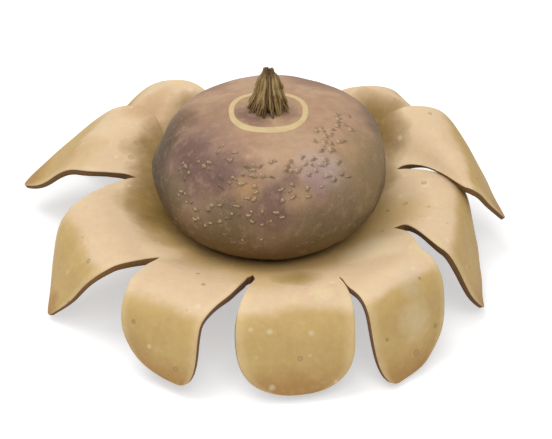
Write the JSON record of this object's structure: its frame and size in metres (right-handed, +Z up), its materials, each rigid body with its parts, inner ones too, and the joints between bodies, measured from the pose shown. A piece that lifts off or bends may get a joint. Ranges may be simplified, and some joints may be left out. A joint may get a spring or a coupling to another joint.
{
  "type": "earthstar fungus",
  "caption": "Opened earthstar: a leathery wall split into arched, bent-down rays around a round spore sac with a ringed, fibrous conical mouth.",
  "frame": {"origin": "centre of the flat scar on the ground, under the spore sac's axis", "axes": "+Z up the sac's axis, -Y towards the front ray, +X to the right seen from the front"},
  "size_m": [0.0751, 0.0674, 0.0347],
  "materials": {
    "exoperidium": "matte, fleshy and leathery, pale straw above, ochre on the bent parts, brown on the cut edges",
    "spore_sac": "matte skin, brown with purple and olive blotches and small pale grains",
    "peristome": "matte bundle of stiff dark brown and straw fibres"
  },
  "bodies": {
    "root": {"exoperidium": "exoperidium", "spore_sac": "spore_sac", "peristome": "peristome"}
  },
  "joints": []
}
